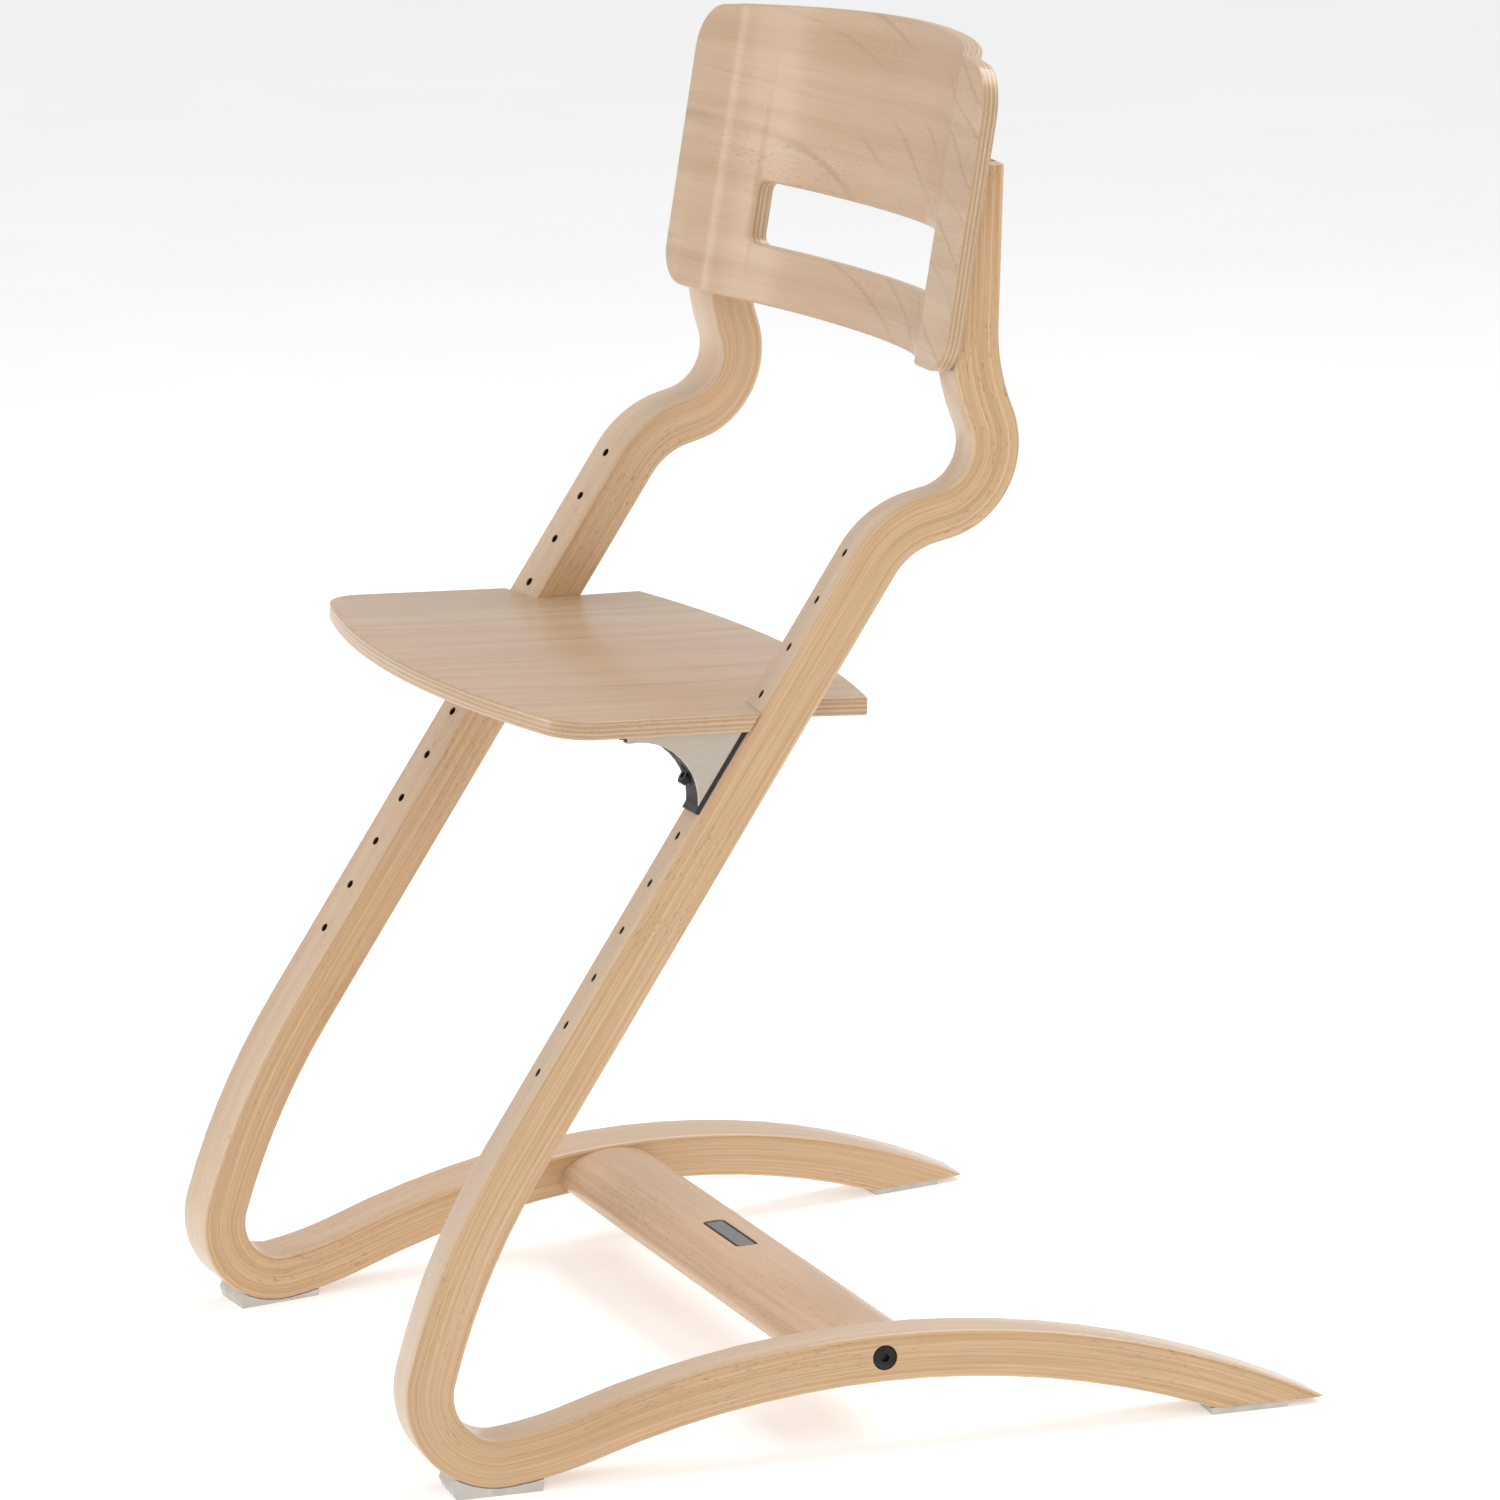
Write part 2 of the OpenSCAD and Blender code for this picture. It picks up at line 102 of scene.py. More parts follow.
def face_outwards(piece):
    into_edit(piece)
    bpy.ops.mesh.remove_doubles(threshold=0.00002)
    bpy.ops.mesh.normals_make_consistent(inside=False)
    out_of_edit()


def finish_with(piece, kind, **settings):
    """Adds one modifier with its settings and applies it."""
    pick(piece)
    modifier = piece.modifiers.new(kind.title(), kind)
    for name, value in settings.items():
        setattr(modifier, name, value)
    bpy.ops.object.modifier_apply(modifier=modifier.name)


def carve(piece, cutters):
    """Joins the cutters and takes them out of the piece."""
    clear_selection()
    for c in cutters:
        c.select_set(True)
    bpy.context.view_layer.objects.active = cutters[0]
    if len(cutters) > 1:
        bpy.ops.object.join()
    tool = bpy.context.object
    finish_with(piece, "BOOLEAN", operation="DIFFERENCE", solver="EXACT", object=tool)
    bpy.data.objects.remove(tool)


def soften_shading(piece, degrees=32):
    pick(piece)
    bpy.ops.object.shade_smooth_by_angle(angle=math.radians(degrees))


def compare(piece, node):
    """Prints how far the piece's box is from the engineering node's box, in millimetres."""
    low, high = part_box(node)
    mine = [v.co for v in piece.data.vertices]
    gaps = [round((min(p[i] for p in mine) - low[i]) / MM, 2) for i in range(3)]
    gaps += [round((max(p[i] for p in mine) - high[i]) / MM, 2) for i in range(3)]
    print(piece.name, len(piece.data.polygons), "faces; box against", node, gaps)


# %% [markdown]
# ## The camera
# The chair is looked at from its left side and a little from in front and above, through
# a long lens that keeps the uprights nearly parallel. The eye is given as a point, and the
# direction as an azimuth and an elevation, with half a degree of roll. The shift only
# centres the chair in the frame.

# %% Camera
EYE = Vector((3.4034, -1.4339, 1.2243))
AZIMUTH, ELEVATION, ROLL = (math.radians(a) for a in (66.67, 12.37, -0.57))

backwards = Vector((math.sin(AZIMUTH) * math.cos(ELEVATION),
                    -math.cos(AZIMUTH) * math.cos(ELEVATION), math.sin(ELEVATION)))
level = Vector((math.cos(AZIMUTH), math.sin(AZIMUTH), 0))
upright = backwards.cross(level)
rightwards = level * math.cos(ROLL) + upright * math.sin(ROLL)
upwards = upright * math.cos(ROLL) - level * math.sin(ROLL)

camera = bpy.data.objects.new("view_camera", bpy.data.cameras.new("view_camera"))
bpy.context.scene.collection.objects.link(camera)
camera.matrix_world = Matrix((rightwards, upwards, backwards)).transposed().to_4x4()
camera.location = EYE
camera.data.sensor_width = 36
camera.data.lens = 147.4
camera.data.shift_x = -0.008
camera.data.shift_y = -0.0377
camera.data.clip_end = 60
bpy.context.scene.camera = camera
print("camera at", tuple(camera.location), "lens", camera.data.lens)

# %% [markdown]
# ## The side frames
# On the real chair, thin beech plies are glued and pressed in a mould into one ribbon with
# a constant section. The best match is to sweep that section: a plane with rounded
# corners is extruded along each straight, and spun round each bend. Every run is written
# as the maker would draw it, a list of straights (length, 0) and bends (radius, angle).

# %% Ribbon sizes
RIBBON_WIDE, RIBBON_THICK, EASED = 34 * MM, 29 * MM, 2.6 * MM
ROW_X, ROW_Y, ROW_Z = 188 * MM, 20.6 * MM, 529.4 * MM
ROW_LEAN, FRAME_TURN = math.radians(34.2), math.radians(7.6)
FOOT_RUN = [(408, 0), (433, 17.8), (42, 111.5), (241, 12.3),
            (598, -math.degrees(500 / 598))]
BACK_RUN = [(57, -42.7), (10, 0), (42.3, 97.2), (129.5, -24.1), (115, 0)]
TOP_Z, TAIL_Z = 759 * MM, 4 * MM


def walk(y, z, heading, run):
    """Each stretch of a run as (start y, start z, start heading, length or radius, turn)."""
    stretches = []
    for size, turn in run:
        size, turn = size * MM, math.radians(turn)
        stretches.append((y, z, heading, size, turn))
        if turn == 0:
            y, z = y + size * math.cos(heading), z + size * math.sin(heading)
        else:
            side = math.copysign(size, turn)
            y += side * (math.sin(heading + turn) - math.sin(heading))
            z -= side * (math.cos(heading + turn) - math.cos(heading))
            heading += turn
    return stretches


foot_stretches = walk(ROW_Y, ROW_Z, math.radians(270) - ROW_LEAN, FOOT_RUN)
back_stretches = walk(ROW_Y, ROW_Z, math.radians(90) - ROW_LEAN, BACK_RUN)

# Where a frame stands: turned about its own hole row, then moved out to the side.
row_line = Vector((0, math.sin(ROW_LEAN), math.cos(ROW_LEAN)))
FRAME_PLACE = (Matrix.Translation((ROW_X, ROW_Y, ROW_Z))
               @ Matrix.Rotation(-FRAME_TURN, 4, row_line)
               @ Matrix.Translation((0, -ROW_Y, -ROW_Z)))
# Along an upright: X outwards, Y square into its front face, Z up the hole row.
ROW_PLACE = (FRAME_PLACE @ Matrix.Translation((0, ROW_Y, ROW_Z))
             @ Matrix.Rotation(-ROW_LEAN, 4, "X"))
print("ribbon length", round(sum(s[3] * (abs(s[4]) or 1) for s in foot_stretches
                                 + back_stretches), 3), "m")

# %% Sweep the ribbon
STEP = math.radians(2.5)


def sweep(stretches):
    """Carries the selected loop of edges along the stretches, in the YZ plane."""
    for y, z, heading, size, turn in stretches:
        if turn == 0:
            move = (0, size * math.cos(heading), size * math.sin(heading))
            bpy.ops.mesh.extrude_region_move(TRANSFORM_OT_translate={"value": move})
        else:
            side = math.copysign(size, turn)
            centre = (0, y - side * math.sin(heading), z + side * math.cos(heading))
            steps = max(6, round(abs(turn) / STEP))
            bpy.ops.mesh.spin(steps=steps, dupli=False, angle=-turn, center=centre,
                              axis=(1, 0, 0))


bpy.ops.object.select_all(action="DESELECT")
bpy.ops.mesh.primitive_plane_add(size=1, location=(0, ROW_Y, ROW_Z),
                                 rotation=(-ROW_LEAN, 0, 0))
left_frame = bpy.context.object
left_frame.scale = (RIBBON_WIDE, RIBBON_THICK, 1)
left_frame.name = "side_frame_left_ribbon"
settle(left_frame)
into_edit(left_frame)
bpy.ops.mesh.bevel(affect="VERTICES", offset=EASED, segments=4)
bpy.ops.mesh.select_all(action="SELECT")
bpy.ops.mesh.delete(type="ONLY_FACE")
bpy.ops.mesh.select_all(action="SELECT")
sweep(foot_stretches)
bpy.ops.mesh.edge_face_add()
select_points(left_frame, lambda p: abs((p - Vector((0, ROW_Y, ROW_Z))).dot(row_line))
              < 1e-6 and abs(p.z - ROW_Z) < 20 * MM)
sweep(back_stretches)
bpy.ops.mesh.edge_face_add()
face_outwards(left_frame)
print("ribbon", len(left_frame.data.polygons), "faces")

# %% [markdown]
# The pressed ribbon is then trimmed. Its top end is sawn level, the foot is planed where
# it would touch the floor, and the tail gets a flat for its glide. Bisect does all three:
# it cuts with a plane, throws one side away and fills the cut. A narrow bevel breaks the
# sharp arris at the top, as a sanding block does.

# %% Trim the ends
settle(left_frame, FRAME_PLACE)
into_edit(left_frame)
bpy.ops.mesh.bisect(plane_co=(0, 0, TOP_Z), plane_no=(0, 0, 1), use_fill=True,
                    clear_outer=True)
bpy.ops.mesh.select_all(action="SELECT")
bpy.ops.mesh.bisect(plane_co=(0, 0, 0), plane_no=(0, 0, -1), use_fill=True,
                    clear_outer=True)
select_points(left_frame, lambda p: p.y > 0.15)
bpy.ops.mesh.bisect(plane_co=(0, 0, TAIL_Z), plane_no=(0, 0, -1), use_fill=True,
                    clear_outer=True)
select_points(left_frame, lambda p: p.z > TOP_Z - 0.00001)
bpy.ops.mesh.bevel(offset=1.2 * MM, segments=3, affect="EDGES")
out_of_edit()

# %% [markdown]
# ## The plan of the backrest
# The backrest is one sheet of bent plywood: a shallow hollow behind the sitter, tighter
# curves at the sides, and a flat flange at each end that is screwed to the upright. The
# plan curve is needed twice, for the sheet itself and for the faces of the uprights that
# are cut to fit it, so it is worked out once, from the middle to the end of one flange.

# %% Backrest plan
BACK_THICK = 11 * MM
BACK_Y, BACK_Z, BACK_LEAN = 102.8 * MM, 631.6 * MM, math.radians(10)
FLANGE_TURN = 7
PLAN_RUN = [(413, -10.3), (254, -20.4), (20, 30.7 - FLANGE_TURN), (70, 0)]
BACK_PLACE = Matrix.Translation((0, BACK_Y, BACK_Z)) @ Matrix.Rotation(-BACK_LEAN, 4, "X")

plan_stretches = walk(0, 0, 0, PLAN_RUN)


def plan_point(distance):
    """The front of the backrest that far along its plan: (x, depth, heading)."""
    for x, y, heading, size, turn in plan_stretches:
        length = size * abs(turn) if turn else size
        if distance <= length or (x, y, heading, size, turn) == plan_stretches[-1]:
            if turn == 0:
                return (x + distance * math.cos(heading),
                        y + distance * math.sin(heading), heading)
            side, angle = math.copysign(size, turn), math.copysign(distance / size, turn)
            return (x + side * (math.sin(heading + angle) - math.sin(heading)),
                    y - side * (math.cos(heading + angle) - math.cos(heading)),
                    heading + angle)
        distance -= length


PLAN = [plan_point(i * 1.5 * MM) for i in range(180)]


def hollow(x):
    """Depth of the front face and slope of the plan at a distance x from the middle."""
    x = abs(x)
    for a, b in zip(PLAN, PLAN[1:]):
        if a[0] <= x <= b[0]:
            t = (x - a[0]) / (b[0] - a[0])
            return a[1] + t * (b[1] - a[1]), a[2] + t * (b[2] - a[2])
    return PLAN[-1][1], PLAN[-1][2]


print("flange depth", round(hollow(0.2)[0], 4), "m")

# %% [markdown]
# Each upright is cut to the rear of the flange. The cutter is a row of points offset from
# the plan by the plywood's thickness, closed well in front, and extruded upwards. The row
# is computed, so its points are written straight into the mesh and not made by operators.

# %% Fit the upright to the flange
CUTTER_LOW, CUTTER_FRONT = -60 * MM, -150 * MM
FLANGE_PART = slice(60, 168, 2)  # the points of the plan that cover the flange and its bend

bpy.ops.object.select_all(action="DESELECT")
bpy.ops.mesh.primitive_plane_add(size=1, location=(0, 0, 0))
flange_cutter = bpy.context.object
rear_line = [(x - BACK_THICK * math.sin(h), y + BACK_THICK * math.cos(h))
             for x, y, h in PLAN[FLANGE_PART]]
flange_cutter.data.clear_geometry()
flange_cutter.data.from_pydata([(x, y, CUTTER_LOW) for x, y in rear_line]
                               + [(rear_line[-1][0], CUTTER_FRONT, CUTTER_LOW),
                                  (rear_line[0][0], CUTTER_FRONT, CUTTER_LOW)], [],
                               [list(range(len(rear_line) + 2))])
into_edit(flange_cutter)
bpy.ops.mesh.extrude_region_move(TRANSFORM_OT_translate={"value": (0, 0, 0.3)})
out_of_edit()
settle(flange_cutter, BACK_PLACE)
face_outwards(flange_cutter)
carve(left_frame, [flange_cutter])
print("after the flange cut", len(left_frame.data.polygons), "faces")

# %% [markdown]
# Twelve holes run down the front of each upright, and a bolt pocket sits in its side.
# Holes are drilled with cylinders: one drill is made and copied down the row, and all the
# copies are joined so that the ribbon is cut only once.

# %% Drill the holes
HOLES, PITCH, FIRST = 12, 32 * MM, 3 * MM
BOLT_Y, BOLT_Z, HEAD_R = 10 * MM, 55 * MM, 7.3 * MM


def drill(radius, length, placement, sides=32):
    """A cylinder from the placement's origin along its Z axis."""
    bpy.ops.object.select_all(action="DESELECT")
    bpy.ops.mesh.primitive_cylinder_add(vertices=sides, radius=radius, depth=length,
                                        location=(0, 0, length / 2))
    tool = bpy.context.object
    settle(tool)
    settle(tool, placement)
    return tool


INTO_UPRIGHT = Matrix.Rotation(math.radians(-90), 4, "X")
OUTWARDS = Matrix.Rotation(math.radians(90), 4, "Y")
drills = [drill(2.8 * MM, 22 * MM, ROW_PLACE
                @ Matrix.Translation((0, -RIBBON_THICK / 2 - 2 * MM, -FIRST - i * PITCH))
                @ INTO_UPRIGHT) for i in range(HOLES)]
bar_bolt_place = FRAME_PLACE @ Matrix.Translation((RIBBON_WIDE / 2, BOLT_Y, BOLT_Z))
drills.append(drill(HEAD_R + 0.3 * MM, 10 * MM, bar_bolt_place
                    @ Matrix.Translation((-5 * MM, 0, 0)) @ OUTWARDS, 48))

# The two screw heads behind each flange sit in round pockets.
flange_x, flange_y, flange_heading = PLAN[150]
pocket_x = 181 * MM
pocket_y = flange_y + (pocket_x - flange_x) * math.tan(flange_heading)
for up in (30 * MM, 92 * MM):
    drills.append(drill(6.5 * MM, 45 * MM, BACK_PLACE
                        @ Matrix.Translation((pocket_x, pocket_y, up))
                        @ Matrix.Rotation(flange_heading, 4, "Z")
                        @ Matrix.Translation((0, BACK_THICK + 9 * MM, 0))
                        @ INTO_UPRIGHT))
carve(left_frame, drills)
into_edit(left_frame)
bpy.ops.mesh.select_all(action="SELECT")
bpy.ops.mesh.remove_doubles(threshold=0.00001)
out_of_edit()
compare(left_frame, "side_frame_left")

# %% [markdown]
# Laminated wood shows its build: the wide faces are one smooth veneer, and the sides show
# all the plies, which follow every bend. A texture in plain space can't do that. So each
# point is given its place in the flat, unbent ribbon: how far along it, how far across,
# and how deep through the plies. The finish reads this "lay" instead of the coordinates.

# %% Lay of the wood in a ribbon
# Each piece starts some metres along the grain, so that no two pieces look alike.
RIGHT_START, BAR_START, SEAT_START, BACK_START = 4.3, 9.1, 21.6, 21.7


def lay_on_run(y, z, stretches):
    """Distance along a run and distance off its centre line, for the nearest stretch."""
    best, travelled = (1.0, 0.0, 0.0), 0.0
    for y0, z0, heading, size, turn in stretches:
        if turn == 0:
            dy, dz = y - y0, z - z0
            along = dy * math.cos(heading) + dz * math.sin(heading)
            off = dz * math.cos(heading) - dy * math.sin(heading)
            length = size
        else:
            side = math.copysign(size, turn)
            cy, cz = y0 - side * math.sin(heading), z0 + side * math.cos(heading)
            radius = math.hypot(y - cy, z - cz)
            sign = math.copysign(1, turn)
            angle = math.atan2(z - cz, y - cy) - math.atan2(z0 - cz, y0 - cy)
            angle = (angle * sign + math.pi) % (2 * math.pi) - math.pi
            along, off = angle * size, sign * (size - radius)
            length = size * abs(turn)
        outside = max(0.0, -along, along - length)
        badness = outside + (abs(off) if abs(off) > 20 * MM else 0)
        if badness < best[0]:
            best = (badness, travelled + along, off)
        travelled += length
    return best


def write_lay(piece, lay_of):
    """Stores lay_of(point) on every vertex as the attribute the finishes read."""
    lay = piece.data.attributes.new("lay", "FLOAT_VECTOR", "POINT")
    for v, value in zip(piece.data.vertices, lay.data):
        value.vector = lay_of(v.co)


def ribbon_lay(point, back=FRAME_PLACE.inverted()):
    flat = back @ point
    foot, rise = (lay_on_run(flat.y, flat.z, s) for s in (foot_stretches, back_stretches))
    if foot[0] <= rise[0]:
        return Vector((foot[1], flat.x, -foot[2]))
    return Vector((-rise[1], flat.x, rise[2]))


write_lay(left_frame, ribbon_lay)
print("lay written on", len(left_frame.data.vertices), "points")

# %% [markdown]
# The right frame is the left one's mirror image. A mirrored mesh is turned inside out, so
# its faces are made to point outwards again. Its lay is moved along by a few metres, so
# that no two ribbons show the same grain.

# %% Right frame
def mirrored(piece, name, shift=0.0):
    pick(piece)
    bpy.ops.object.duplicate()
    copy = bpy.context.object
    copy.name = name
    copy.scale = (-1, 1, 1)
    settle(copy)
    into_edit(copy)
    bpy.ops.mesh.normals_make_consistent(inside=False)
    out_of_edit()
    if shift:
        for value in copy.data.attributes["lay"].data:
            value.vector = value.vector + Vector((shift, 0, 0))
    return copy


right_frame = mirrored(left_frame, "side_frame_right_ribbon", RIGHT_START)
compare(right_frame, "side_frame_right")

# %% [markdown]
# ## The crossbar
# One bar of solid beech with a lens-shaped section ties the two feet together. It starts
# as a cylinder that is squeezed into the lens and laid across, and each end is cut by the
# slanting inner face of its frame. A shallow bed in its top takes a small metal badge.

# %% Crossbar
BAR_WIDE, BAR_HIGH, BAR_Y, BAR_Z = 70 * MM, 33 * MM, 8.6 * MM, 50.6 * MM
BADGE_LONG, BADGE_WIDE = 56 * MM, 14 * MM

bpy.ops.object.select_all(action="DESELECT")
bpy.ops.mesh.primitive_cylinder_add(vertices=96, radius=0.5, depth=1,
                                    location=(0, BAR_Y, BAR_Z),
                                    rotation=(0, math.radians(90), 0),
                                    scale=(BAR_HIGH, BAR_WIDE, 520 * MM))
crossbar = bpy.context.object
crossbar.name = "crossbar_lens"
settle(crossbar)
into_edit(crossbar)
for side in (1, -1):
    inner = FRAME_PLACE @ Vector((-RIBBON_WIDE / 2, BAR_Y, BAR_Z))
    outwards = FRAME_PLACE.to_3x3() @ Vector((1, 0, 0))
    bpy.ops.mesh.select_all(action="SELECT")
    bpy.ops.mesh.bisect(plane_co=(side * inner.x, inner.y, inner.z),
                        plane_no=(side * outwards.x, outwards.y, outwards.z),
                        use_fill=True, clear_outer=True)
out_of_edit()


def rounded_block(long, wide, high, corner, centre):
    """A slab with round corners, whose top is at the centre's height plus half of high."""
    bpy.ops.object.select_all(action="DESELECT")
    bpy.ops.mesh.primitive_plane_add(size=1, location=centre)
    slab = bpy.context.object
    slab.scale = (long, wide, 1)
    settle(slab)
    into_edit(slab)
    bpy.ops.mesh.bevel(affect="VERTICES", offset=corner, segments=5)
    bpy.ops.mesh.select_all(action="SELECT")
    bpy.ops.transform.translate(value=(0, 0, -high / 2))
    bpy.ops.mesh.extrude_region_move(TRANSFORM_OT_translate={"value": (0, 0, high)})
    out_of_edit()
    face_outwards(slab)
    return slab


badge_top = BAR_Z + BAR_HIGH / 2 - 0.5 * MM
carve(crossbar, [rounded_block(BADGE_LONG + 1.2 * MM, BADGE_WIDE + 1.2 * MM, 6 * MM,
                               3.4 * MM, (0, BAR_Y, badge_top + 1.8 * MM))])
write_lay(crossbar, lambda p: Vector((p.x + BAR_START, p.y - BAR_Y, p.z - BAR_Z)))
compare(crossbar, "crossbar")

# %% [markdown]
# ## The seat
# The seat is a flat plywood plate. Half of its outline is drawn as a line would be by
# hand: a point is spun round the centre of the front curve, then round the corner, drawn
# back along the side, and spun along the rear curve. A mirror makes the other half, the
# outline is filled, and the plate gets its thickness by extrusion. The notches for the
# uprights are cut once it is tilted into place, because they follow the uprights.

# %% Seat outline
SEAT_THICK, SEAT_HALF, SEAT_FRONT, SEAT_REAR = 11 * MM, 206 * MM, -206.4 * MM, 46.6 * MM
FRONT_R, REAR_R, CORNER_R = 716 * MM, 764 * MM, 28 * MM
SEAT_LINE_Y, SEAT_Z, SEAT_TILT, SEAT_GAP = -51.4 * MM, 448.6 * MM, 2.7, 0.5 * MM
front_centre = SEAT_FRONT + FRONT_R
corner_x = SEAT_HALF - CORNER_R
corner_y = front_centre - math.sqrt((FRONT_R - CORNER_R) ** 2 - corner_x ** 2)
front_angle = math.asin(corner_x / (FRONT_R - CORNER_R))
side_rear = SEAT_REAR - REAR_R + math.sqrt(REAR_R ** 2 - SEAT_HALF ** 2)

bpy.ops.object.select_all(action="DESELECT")
bpy.ops.mesh.primitive_plane_add(size=1)
seat = bpy.context.object
seat.name = "seat_plate"
# The plane is emptied to one point, written straight into the mesh. The spins start there.
seat.data.clear_geometry()
seat.data.from_pydata([(0, SEAT_FRONT, 0)], [], [])
into_edit(seat)
bpy.ops.mesh.spin(steps=12, angle=-front_angle, center=(0, front_centre, 0),
                  axis=(0, 0, 1))
bpy.ops.mesh.spin(steps=14, angle=-(math.pi / 2 - front_angle),
                  center=(corner_x, corner_y, 0), axis=(0, 0, 1))
bpy.ops.mesh.extrude_region_move(
    TRANSFORM_OT_translate={"value": (0, side_rear - corner_y, 0)})
bpy.ops.mesh.spin(steps=12, angle=-math.asin(SEAT_HALF / REAR_R),
                  center=(0, SEAT_REAR - REAR_R, 0), axis=(0, 0, 1))
out_of_edit()
finish_with(seat, "MIRROR", use_axis=(True, False, False), merge_threshold=0.00005)
into_edit(seat)
bpy.ops.mesh.remove_doubles(threshold=0.00005)
bpy.ops.mesh.select_all(action="SELECT")
bpy.ops.mesh.edge_face_add()
bpy.ops.mesh.select_all(action="SELECT")
bpy.ops.mesh.extrude_region_move(TRANSFORM_OT_translate={"value": (0, 0, -SEAT_THICK)})
out_of_edit()
SEAT_PLACE = (Matrix.Translation((0, SEAT_LINE_Y, SEAT_Z))
              @ Matrix.Rotation(math.radians(-SEAT_TILT), 4, "X")
              @ Matrix.Translation((0, -SEAT_LINE_Y, 0)))
settle(seat, SEAT_PLACE)
face_outwards(seat)
print("seat outline", len(seat.data.vertices), "points")

# %% Seat notches
notches = []
for side in (1, -1):
    bpy.ops.object.select_all(action="DESELECT")
    bpy.ops.mesh.primitive_cube_add(size=1, location=(
        0.15 - RIBBON_WIDE / 2 - SEAT_GAP, 0.25 - RIBBON_THICK / 2 - SEAT_GAP, -0.1),
        scale=(0.3, 0.5, 1.0))
    notch = bpy.context.object
    settle(notch)
    settle(notch, Matrix.Diagonal((side, 1, 1, 1)) @ ROW_PLACE)
    face_outwards(notch)
    notches.append(notch)
carve(seat, notches)
finish_with(seat, "BEVEL", width=1.3 * MM, segments=3, limit_method="ANGLE",
            angle_limit=math.radians(35))
write_lay(seat, lambda p, back=SEAT_PLACE.inverted(): Vector(
    ((back @ p).y + SEAT_START, (back @ p).x, (back @ p).z + SEAT_THICK / 2)))
compare(seat, "seat")

# %% [markdown]
# ## The backrest
# The sheet is modelled flat, where round corners, the handle slot and an even bevel are
# easy. It is sliced into narrow upright strips, so that it can follow a curve, and then
# every point is moved back or forward by the plan curve, the way a press bends plywood.
# The lay is written while the sheet is still flat, so the grain bends with it.

# %% Flat sheet
BACK_HALF, BACK_HIGH, CROWN = 212 * MM, 194.4 * MM, 16 * MM
TOP_CORNER, LOW_CORNER = 31 * MM, 24 * MM
SLOT_HALF, SLOT_LOW, SLOT_HIGH, SLOT_CORNER = 132 * MM, 37 * MM, 39.5 * MM, 6 * MM


def crown_height(x):
    return BACK_HIGH - CROWN * (x / 0.2) ** 2


bpy.ops.object.select_all(action="DESELECT")
bpy.ops.mesh.primitive_plane_add(size=1)
backrest = bpy.context.object
backrest.name = "backrest_sheet"
# As on the seat, the outline starts from one point written straight into the mesh.
backrest.data.clear_geometry()
backrest.data.from_pydata([(0, 0, 0)], [], [])
into_edit(backrest)
top_start = crown_height(BACK_HALF - TOP_CORNER) - TOP_CORNER
top_turn = math.radians(82)
bpy.ops.mesh.extrude_region_move(
    TRANSFORM_OT_translate={"value": (BACK_HALF - LOW_CORNER, 0, 0)})
bpy.ops.mesh.spin(steps=12, angle=math.pi / 2,
                  center=(BACK_HALF - LOW_CORNER, 0, LOW_CORNER), axis=(0, 1, 0))
bpy.ops.mesh.extrude_region_move(
    TRANSFORM_OT_translate={"value": (0, 0, top_start - LOW_CORNER)})
bpy.ops.mesh.spin(steps=14, angle=top_turn,
                  center=(BACK_HALF - TOP_CORNER, 0, top_start), axis=(0, 1, 0))
reached = Vector((BACK_HALF - TOP_CORNER * (1 - math.cos(top_turn)), 0,
                  top_start + TOP_CORNER * math.sin(top_turn)))
crown_start = reached.x
for i in range(11, -1, -1):
    goal = Vector((crown_start * i / 12, 0, crown_height(crown_start * i / 12)))
    bpy.ops.mesh.extrude_region_move(TRANSFORM_OT_translate={"value": goal - reached})
    reached = goal
out_of_edit()
finish_with(backrest, "MIRROR", use_axis=(True, False, False), merge_threshold=0.00005)
into_edit(backrest)
bpy.ops.mesh.remove_doubles(threshold=0.00005)
bpy.ops.mesh.select_all(action="SELECT")
bpy.ops.mesh.edge_face_add()
bpy.ops.mesh.select_all(action="SELECT")
bpy.ops.mesh.extrude_region_move(TRANSFORM_OT_translate={"value": (0, BACK_THICK, 0)})
out_of_edit()
face_outwards(backrest)

slot_tool = rounded_block(2 * SLOT_HALF, SLOT_HIGH, 40 * MM, SLOT_CORNER, (0, 0, 0))
settle(slot_tool, Matrix.Translation((0, 0, SLOT_LOW + SLOT_HIGH / 2))
       @ Matrix.Rotation(math.radians(90), 4, "X"))
carve(backrest, [slot_tool])
finish_with(backrest, "BEVEL", width=1.4 * MM, segments=3, limit_method="ANGLE",
            angle_limit=math.radians(35))
print("flat sheet", len(backrest.data.polygons), "faces")

# %% Slice and bend the sheet
into_edit(backrest)
strips = 96
for i in range(1, strips):
    bpy.ops.mesh.select_all(action="SELECT")
    bpy.ops.mesh.bisect(plane_co=(BACK_HALF * (2 * i / strips - 1), 0, 0),
                        plane_no=(1, 0, 0))
out_of_edit()
write_lay(backrest, lambda p: Vector((p.x + BACK_START, p.z, p.y - BACK_THICK / 2)))

REAR = [(x - BACK_THICK * math.sin(h), y + BACK_THICK * math.cos(h)) for x, y, h in PLAN]


def along_line(line, x):
    for a, b in zip(line, line[1:]):
        if a[0] <= x <= b[0]:
            return a[1] + (b[1] - a[1]) * (x - a[0]) / (b[0] - a[0])
    return line[0][1] if x < line[0][0] else line[-1][1]


for v in backrest.data.vertices:
    depth, x = v.co.y / BACK_THICK, abs(v.co.x)
    v.co.y = (1 - depth) * hollow(x)[0] + depth * along_line(REAR, x)
settle(backrest, BACK_PLACE)
compare(backrest, "backrest")

# %% [markdown]
# ## Bolts
# A black socket bolt holds each end of the crossbar. Its head is a short cylinder with a
# broken edge and a hexagonal socket. One is made and mirrored to the other side.

